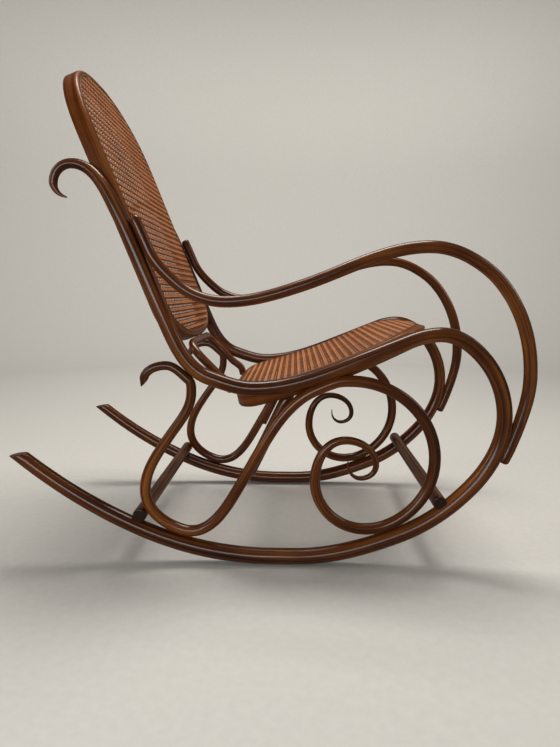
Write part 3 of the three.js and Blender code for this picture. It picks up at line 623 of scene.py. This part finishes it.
def wood(name, rough, coat, dark, mid, light):
    """Stained beech: broad bands, long streaks, short pores and worn patches under a gloss coat."""
    mat, tree, shader = new_material(name)
    grain = attribute(tree, "grain", "Vector")
    bands = noise(tree, grain, (2.6, 130.0, 130.0), detail=3, distortion=0.5)
    streaks = noise(tree, grain, (5.0, 420.0, 420.0), detail=6, rough=0.62)
    pores = noise(tree, grain, (45.0, 1500.0, 1500.0), detail=2)
    patches = noise(tree, object_place(tree), (7.0, 7.0, 7.0), detail=3)
    colour = ramp(tree, bands, [(0.33, dark), (0.5, mid), (0.68, light)])
    colour = multiply(tree, colour, 0.8, streaks, [
        (0.3, (0.5, 0.44, 0.4)), (0.52, (1, 1, 1)), (0.75, (1.35, 1.25, 1.15)),
    ])
    colour = multiply(tree, colour, 0.45, pores, [(0.36, (0.35, 0.3, 0.28)), (0.46, (1, 1, 1))])
    colour = multiply(tree, colour, 0.8, patches, [(0.32, (0.6, 0.47, 0.42)), (0.68, (1.3, 1.45, 1.4))])
    tone = attribute(tree, "tone", "Fac")
    colour = mix(tree, map_range(tree, tone), colour, (*END_GRAIN, 1))
    # A tone below 0 paints a highlight: the lighter colour of an edge that light catches.
    colour = mix(tree, map_range(tree, tone, source=(0.0, -1.0)), colour, (*EDGE_HIGHLIGHT_COLOUR, 1))
    height = node(tree, "Math", {0: streaks, 1: pores}, operation="ADD").outputs[0]
    fill(tree, shader, {
        "Base Color": colour,
        "Roughness": map_range(tree, streaks, target=(rough - 0.06, rough + 0.14)),
        "Normal": bump(tree, height, 0.12, 0.0006),
        "Specular IOR Level": 0.05,
        "Coat Weight": coat,
        "Coat Roughness": 0.17,
        "Coat IOR": 1.5,
    })
    return mat


def cane_material():
    """Rattan strands. The grain holds the run, the place across a strand and the strand's painted light and
    shade with its random tone.
    """
    mat, tree, shader = new_material("cane")
    grain = attribute(tree, "grain", "Vector")
    light_and_tone = node(tree, "SeparateXYZ", {0: grain}).outputs[2]
    fibres = noise(tree, grain, (30.0, 700.0, 0.0), detail=4)
    patches = noise(tree, object_place(tree), (9.0, 9.0, 9.0), detail=3)
    # Colour from that level: dark where shade is painted, light where light is painted, with the random
    # tone.
    colour = ramp(tree, light_and_tone, [
        (0.0, (0.08, 0.024, 0.008)), (0.45, (0.32, 0.115, 0.04)), (1.0, (0.68, 0.3, 0.13)),
    ])
    colour = multiply(tree, colour, 0.7, fibres, [
        (0.3, (0.62, 0.55, 0.5)), (0.6, (1, 1, 1)), (0.8, (1.2, 1.15, 1.1)),
    ])
    colour = multiply(tree, colour, 0.8, patches, [(0.3, (0.72, 0.66, 0.62)), (0.7, (1.12, 1.1, 1.08))])
    fill(tree, shader, {
        "Base Color": colour,
        "Roughness": 0.5,
        "Normal": bump(tree, fibres, 0.25, 0.0003),
        "Specular IOR Level": 0.1,
        "Coat Weight": 0.1,
        "Coat Roughness": 0.25,
    })
    return mat


def steel_material():
    """Dark oiled steel with fine marks."""
    mat, tree, shader = new_material("steel")
    marks = noise(tree, object_place(tree), (900.0, 900.0, 900.0), detail=4)
    fill(tree, shader, {
        "Base Color": ramp(tree, marks, [(0.3, (0.035, 0.028, 0.022)), (0.7, (0.09, 0.075, 0.06))]),
        "Roughness": map_range(tree, marks, target=(0.32, 0.6)),
        "Metallic": 0.85,
    })
    return mat


def stage_material():
    """A pale mottled ground."""
    mat, tree, shader = new_material("stage")
    mottle = noise(tree, object_place(tree), (60.0, 60.0, 60.0), detail=3)
    fill(tree, shader, {
        "Base Color": ramp(tree, mottle, [(0.3, (0.66, 0.65, 0.62)), (0.7, (0.7, 0.69, 0.66))]),
        "Roughness": 0.9,
    })
    return mat


rod_wood = wood("rod_wood", 0.24, 0.6, (0.034, 0.0085, 0.0014), (0.1, 0.026, 0.0038), (0.2, 0.062, 0.01))
ring_wood = wood("ring_wood", 0.34, 0.2, (0.1, 0.026, 0.004), (0.16, 0.043, 0.0065), (0.23, 0.07, 0.012))
spline_wood = wood("spline_wood", 0.42, 0.2, (0.09, 0.038, 0.02), (0.16, 0.072, 0.04), (0.25, 0.12, 0.07))
cane = cane_material()
steel = steel_material()


def add_camera():
    camera = add_object("camera", bpy.data.cameras.new("camera"))
    camera.location = ((CAMERA_X + SHIFT) * MM, CAMERA_Y * MM, CAMERA_Z * MM)
    camera.rotation_euler = (math.radians(90 - CAMERA_DIP), 0, math.radians(CAMERA_HEADING))
    camera.data.sensor_fit = "HORIZONTAL"
    camera.data.sensor_width = SENSOR
    camera.data.lens = SENSOR * FOCAL_PIXELS / PHOTO_PIXELS
    camera.data.clip_start = CLIP_START
    bpy.context.scene.camera = camera


def stage_piece(name, circles, mat):
    """A round stage of circles of radius and height in metres."""
    sides = STAGE_SIDES
    points = [(r * math.cos(a), r * math.sin(a), z) for r, z in circles for a in round_angles(sides)]
    faces = []
    for i in range(len(circles) - 1):
        for k in range(sides):
            a, b, m = i * sides, (i + 1) * sides, (k + 1) % sides
            faces.append((a + k, b + k, b + m, a + m))
    piece = add_object(name, smooth_mesh(name, points, faces, mat))
    return piece


def add_lamp(name, place, aim, width, height, power, colour):
    """A rectangular lamp that faces its aim."""
    data = bpy.data.lights.new(name, "AREA")
    data.shape = "RECTANGLE"
    data.size, data.size_y = width, height
    data.energy = power
    data.color = colour
    lamp = add_object(name, data)
    lamp.location = place
    lamp.rotation_euler = (Vector(aim) - Vector(place)).to_track_quat("-Z", "Y").to_euler()


def add_stage():
    """A pale floor and a curved backdrop, lit by a pale sky and five soft lamps."""
    mat = stage_material()
    ground = stage_piece("stage_floor", [(r, 0.0) for r in FLOOR_CIRCLES], mat)
    ground.visible_glossy = False
    edge = FLOOR_CIRCLES[-1]
    bend = [(edge + BEND_RADIUS * math.sin(a), BEND_RADIUS * (1 - math.cos(a)))
            for a in np.radians(range(0, 91, 6))]
    wall = stage_piece("stage_wall", bend + [(edge + BEND_RADIUS, WALL_TOP)], mat)
    for ray in ("diffuse", "glossy", "shadow", "transmission"):
        setattr(wall, f"visible_{ray}", False)
    world = bpy.data.worlds.new("world")
    bpy.context.scene.world = world
    world.use_nodes = True
    fill(world.node_tree, world.node_tree.nodes["Background"], {0: SKY_COLOUR, 1: SKY_STRENGTH})
    for lamp in LAMPS:
        add_lamp(*lamp)
    bpy.context.scene.view_settings.view_transform = "Standard"


def add_side_frame(side, word, seed):
    y = side * SPACING / 2
    rod(f"{word}_side_rail_rod", rail, y, [f"{word}_side_rail"], seed, sides=RAIL_SIDES, end=[],
        slope=math.radians(TAIL_CUT))
    rod(f"{word}_arm_rod", arm, y, [f"{word}_arm"], seed + ARM_GRAIN, start=WORN, end=WORN)
    rod(f"{word}_scroll_rod", scroll, y, [f"{word}_scroll_bow", f"{word}_scroll_loop"],
        seed + SCROLL_GRAIN, start=[], start_slope=math.radians(HOOK_CUT))


def add_strut(side, word, seed):
    """From beside the scroll up to the underside of the seat frame."""
    x, z, heading, radius = scroll.at(STRUT_ON_SCROLL)
    foot = (x + STRUT_FORWARD * math.sin(heading), z - STRUT_FORWARD * math.cos(heading))
    top_at = STRUT_TOP * seat_curve.length
    top = seat_curve.point(top_at, 0.0, -SEAT_DEPTH - GAP)[[0, 2]]
    slant = math.atan2(top[1] - foot[1], top[0] - foot[0])
    line = Outline([(*foot, slant, STRUT / 2), (*top, slant, STRUT / 2)])
    y = side * (SPACING / 2 - radius - STRUT / 2 - GAP)
    rod(f"{word}_strut_rod", line, y, [f"{word}_strut"], seed, start=BLUNT, end=[],
        slope=float(seat_curve.heading(top_at)) + math.pi / 2)


def add_stretcher(word, centre, seed):
    """A straight round stretcher across the runners, with eased ends."""
    half, radius = (SPACING + SCROLL) / 2, STRETCHER / 2
    line = [(-half + on, radius - thinner) for on, thinner in STRETCHER_END]
    line += [(w, radius) for w in np.linspace(-half + STRETCHER_PLAIN, 0, STRETCHER_STEPS)]
    line += [(-w, r) for w, r in line[-2::-1]]
    angle = round_angles(STRETCHER_SIDES)
    rings = []
    for w, r in line:
        x, z = centre[0] + r * np.cos(angle), centre[1] + r * np.sin(angle)
        rings.append(np.stack([x, np.full_like(angle, w), z], -1))
    points, faces = tube(rings)
    x, y, z = points.T
    grain = grain_field(x.shape, y, x - centre[0], z - centre[1], seed)
    tone = np.clip((np.abs(y) - half + DARK_END) / DARK_END, 0, 1)
    make(f"{word}_stretcher_rod", points, faces, "rod", rod_wood, [f"{word}_stretcher"], grain, tone)


def add_strip(name, curve, section, shape, slot, mat, replaces, seed, tone=None):
    """A section swept round a caned frame, with its grain running round it."""
    rings = strip(curve, section)
    grain = grain_field(rings.shape[:2], run_along(section[0][0])[:, None], shape[:, 0], shape[:, 1],
                        seed, seed)
    # A tone, where given, paints a highlight along the frame's top edge.
    highlight_per_point = None if tone is None else np.tile(tone, len(rings))
    make(name, *tube(rings, closed=True), slot, mat, replaces, grain, highlight_per_point)


def add_caned_frame(word, curve, half, groove_half, depth, seed):
    """A ring, the spline in its groove and the woven cane."""
    outer, groove = whole(half), whole(groove_half)
    section, shape = ring_section(outer, groove, depth)
    # A highlight painted on the ring's outer top edge: lighter near that corner and fading inwards, where
    # light from above catches it.
    from_edge = np.hypot(shape[:, 0] - HIGHLIGHT_IN, shape[:, 1] + HIGHLIGHT_IN)
    painted_highlight = HIGHLIGHT_TONE * np.clip(HIGHLIGHT_START - from_edge / HIGHLIGHT_FADE, 0, 1)
    add_strip(f"{word}_frame_ring", curve, section, shape, "ring", ring_wood, [f"{word}_frame"], seed, painted_highlight)
    middle, wide = GROOVE / 2, GROOVE / 2 - GAP
    bead = [(middle + wide, -SPLINE_DEPTH)]
    for a in np.linspace(0, math.pi, CROWN_STEPS + 1):
        bead.append((middle + wide * math.cos(a), SPLINE_CROWN * math.sin(a)))
    bead = np.array(bead + [(middle - wide, -SPLINE_DEPTH)])
    add_strip(f"{word}_spline_bead", curve, [(groove, *each) for each in bead], bead, "spline",
              spline_wood, [f"{word}_spline"], seed + SPLINE_GRAIN)
    add_weave(word, curve, inset(groove, GROOVE * CANE_INSET), seed)


def crossing(path, origin, way):
    """Where a line crosses a convex closed path: the least and greatest distance along it."""
    edge = np.roll(path, -1, 0) - path
    across = way[0] * edge[:, 1] - way[1] * edge[:, 0]
    rel = path - origin
    with np.errstate(divide="ignore", invalid="ignore"):
        t = (rel[:, 0] * edge[:, 1] - rel[:, 1] * edge[:, 0]) / across
        u = (rel[:, 0] * way[1] - rel[:, 1] * way[0]) / across
    hit = t[(u >= 0) & (u <= 1) & np.isfinite(t)]
    return (hit.min(), hit.max()) if len(hit) > 1 else None


def pair_line(span, level, which):
    """Places and heights of a strand that passes the pairs, over one of each pair and under one."""
    first = math.floor(span[0] / CANE_PITCH) - 1
    last = math.ceil(span[1] / CANE_PITCH) + 2
    base = np.arange(first, last) * CANE_PITCH
    marks = np.sort((base[:, None] + np.array([-PAIR, -PAIR / 2, PAIR / 2, PAIR, CANE_PITCH / 2])).ravel())
    marks = marks[(marks > span[0] + END_CLEARANCE) & (marks < span[1] - END_CLEARANCE)]
    t = np.concatenate([[span[0]], marks, [span[1]]])
    d = t - np.round(t / CANE_PITCH) * CANE_PITCH
    rise = np.where(np.abs(d) < PAIR, np.sin(math.pi * d / PAIR), 0.0)
    return t, level + PAIR_RISE * which * rise


def straight_strands(path, middle, count):
    """The pairs that run along and across. Each strand is places, heights, its side and its level of
    painted light.
    """
    strands = []
    for i in range(-count, count + 1):
        for which in (-1, 1):
            at = i * CANE_PITCH + which * PAIR / 2
            span = crossing(path, np.array([middle, at]), np.array([1.0, 0.0]))
            if span:
                t, h = pair_line(span, ALONG_LEVEL, -which)
                strands.append((middle + t, np.full_like(t, at), h, (0.0, 1.0), ALONG_PAINTED_LIGHT))
            span = crossing(path, np.array([middle + at, 0.0]), np.array([0.0, 1.0]))
            if span:
                t, h = pair_line(span, ACROSS_LEVEL, which)
                strands.append((np.full_like(t, middle + at), t, h, (1.0, 0.0), ACROSS_PAINTED_LIGHT))
    return strands


def slanted_strands(path, middle, count):
    """One strand on each diagonal, waving up and down once in each pitch."""
    strands = []
    for slant in (1.0, -1.0):
        way = np.array([1.0, slant]) / math.sqrt(2)
        for k in range(-2 * count, 2 * count + 1):
            origin = np.array([middle + (k + 0.5) * CANE_PITCH, 0.0])
            span = crossing(path, origin, way)
            if span:
                t = np.append(np.arange(span[0], span[1], SLANT_STEP), span[1])
                s = origin[0] - middle + t * way[0]
                h = SLANT_LEVEL + SLANT_RISE * np.cos(2 * math.pi * s / CANE_PITCH)
                strands.append((middle + s, origin[1] + t * way[1], h, (-way[1], way[0]), SLANT_PAINTED_LIGHT))
    return strands


def strand_points(curve, s, y, height):
    """Points of a strand, at heights square to the profile."""
    flat = curve.point(s, 0.0, 0.0)
    up = curve.point(s, 0.0, 1.0) - flat
    out = flat + up * height[:, None]
    out[:, 1] = y
    return out


def add_weave(word, curve, path, seed):
    """Open cane: pairs along and across, and one strand on each diagonal, as real strands."""
    middle = (path[:, 0].min() + path[:, 0].max()) / 2
    half_length, half_width = np.ptp(path[:, 0]) / 2, path[:, 1].max()
    count = int(max(half_length, half_width) / CANE_PITCH) + 2
    rng = np.random.default_rng(int(seed))
    sides = len(STRAND_SECTION)
    points, faces, grain = [], [], []
    base = 0
    strands = straight_strands(path, middle, count) + slanted_strands(path, middle, count)
    for s, y, h, across, light_and_tone in strands:
        n = len(s)
        wander = WANDER * rng.standard_normal() + DRIFT * np.cumsum(rng.standard_normal(n)) / math.sqrt(n)
        wide = STRAND_WIDTH * (LEAST_WIDTH + WIDTH_SPREAD * rng.random())
        # The strand's painted light by its kind, a random tone, and painted light on rises and painted
        # shade in dips at the crossings.
        own_light_and_tone = light_and_tone + SHADE_SPREAD * rng.standard_normal() + RISE_PAINTED_LIGHT * (h - h.mean())
        own_light_and_tone = np.clip(own_light_and_tone, 0, 1)
        run = run_along(np.stack([s, y], 1))
        from_end = np.minimum(run, run[-1] - run)
        dip = END_DIP * np.clip(1 - from_end / END_REACH, 0, 1) ** 2
        for a, b in STRAND_SECTION:
            off = a * wide + wander
            level = CANE_LEVEL + h + dip + b * STRAND_THICK
            points.append(strand_points(curve, s + across[0] * off, y + across[1] * off, level))
            start, place = rng.random(), (a + 0.5) * wide
            grain.append(np.stack([run * MM + start, np.full(n, place * MM), own_light_and_tone], -1))
        for j in range(base, base + n - 1):
            for m in range(sides):
                q = (m + 1) % sides
                faces.append((m * n + j, q * n + j, q * n + j + 1, m * n + j + 1))
        faces.append(tuple(base + m * n for m in range(sides))[::-1])
        faces.append(tuple(base + m * n + n - 1 for m in range(sides)))
        base += sides * n
    make(f"{word}_cane_weave", np.concatenate(points), faces, "cane", cane, [f"{word}_cane"],
         np.concatenate(grain))


def add_back():
    half = half_oval(BACK_HEIGHT, back_inside, BACK_TOP, BACK_FOOT)
    half[:, 0] = np.maximum(half[:, 0], APEX)
    groove = inset(whole(half), OUTER_LAND)[:len(half)]
    add_caned_frame("back", back_curve, half, groove, BACK_DEPTH, BACK_GRAIN)


def add_seat():
    half = half_oval(seat_curve.length, seat_inside, SEAT_REAR, SEAT_FRONT)
    rear = (SEAT_REAR[0] - OUTER_LAND, SEAT_REAR[1])
    length = seat_curve.length - OUTER_LAND - FRONT_LAND
    groove = half_oval(length, seat_inside - OUTER_LAND, rear, CANE_FRONT) + np.array([OUTER_LAND, 0])
    add_caned_frame("seat", seat_curve, half, groove, SEAT_DEPTH, SEAT_GRAIN)


def leg_foot(height):
    """A knot at the foot of the connecting loop's leg, at a height off the seat frame's face."""
    leg, radius = LOOP_WIDTH / 2, LOOP / 2
    spread = ((leg - radius / 2) / seat_inside) ** SEAT_REAR[1]
    rear = SEAT_REAR[0] * (1 - (1 - spread) ** (1 / SEAT_REAR[1]))
    p = seat_curve.point(rear - radius - GAP, leg, height)
    return p[0], p[2], math.radians(SEAT_ROWS[0][2]) + math.pi / 2, 0


def loop_path(length):
    """Half of the connecting loop laid flat: up a leg, round a corner and in to the middle."""
    leg, straight = LOOP_WIDTH / 2, length - LOOP_CORNER
    half = [(straight * i / LEG_STEPS, leg) for i in range(LEG_STEPS + 1)]
    for a in np.radians(np.linspace(0, 90, CORNER_STEPS + 1))[1:]:
        half.append((straight + LOOP_CORNER * math.sin(a), leg - LOOP_CORNER * (1 - math.cos(a))))
    half += [(length, w) for w in np.linspace(leg - LOOP_CORNER, 0, BOW_STEPS + 1)[1:-1]]
    return np.array(half)


def add_connecting_loop():
    """Two legs up the rear of the seat frame and a bow under the back frame."""
    radius = LOOP / 2
    bow = back_foot - front * LOOP_SET_BACK - lean * (radius + GAP)
    curve = Profile([leg_foot(-LOOP_OVERLAP), leg_foot(0)] + knots_of(LOOP_ROWS)
                    + [(*bow, math.atan2(lean[1], lean[0]), 0)])
    path = whole(loop_path(curve.length))
    angle = round_angles(LOOP_SIDES)
    section = [(path, radius * math.cos(a), radius * math.sin(a)) for a in angle]
    rings = strip(curve, section, closed=False)
    ends = []
    for last, inner in ((0, 1), (-1, -2)):
        centre = rings[last].mean(0)
        way = centre - rings[inner].mean(0)
        way /= np.linalg.norm(way)
        ends.append([centre + (rings[last] - centre) * wide + way * on * radius for on, wide in LOOP_END])
    rings = np.concatenate([ends[0][::-1], rings, ends[1]])
    grain = grain_field(rings.shape[:2], run_along(rings.mean(1))[:, None], radius * np.cos(angle),
                        radius * np.sin(angle), LOOP_GRAIN)
    make("connecting_loop_rod", *tube(rings), "rod", rod_wood, ["connecting_loop"], grain)


def dress_screws():
    """The screws keep their solids and get dark oiled steel."""
    for name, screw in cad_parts.items():
        if name.endswith("_screw"):
            for spot in screw.material_slots:
                spot.link = "OBJECT"
                spot.material = steel


add_camera()
add_stage()
for side, word, frame_seed, _ in SIDES:
    add_side_frame(side, word, frame_seed)
for side, word, _, strut_seed in SIDES:
    add_strut(side, word, strut_seed)
add_stretcher("front", front_stretcher, FRONT_GRAIN)
add_stretcher("rear", rear_stretcher, REAR_GRAIN)
add_back()
add_seat()
add_connecting_loop()
dress_screws()
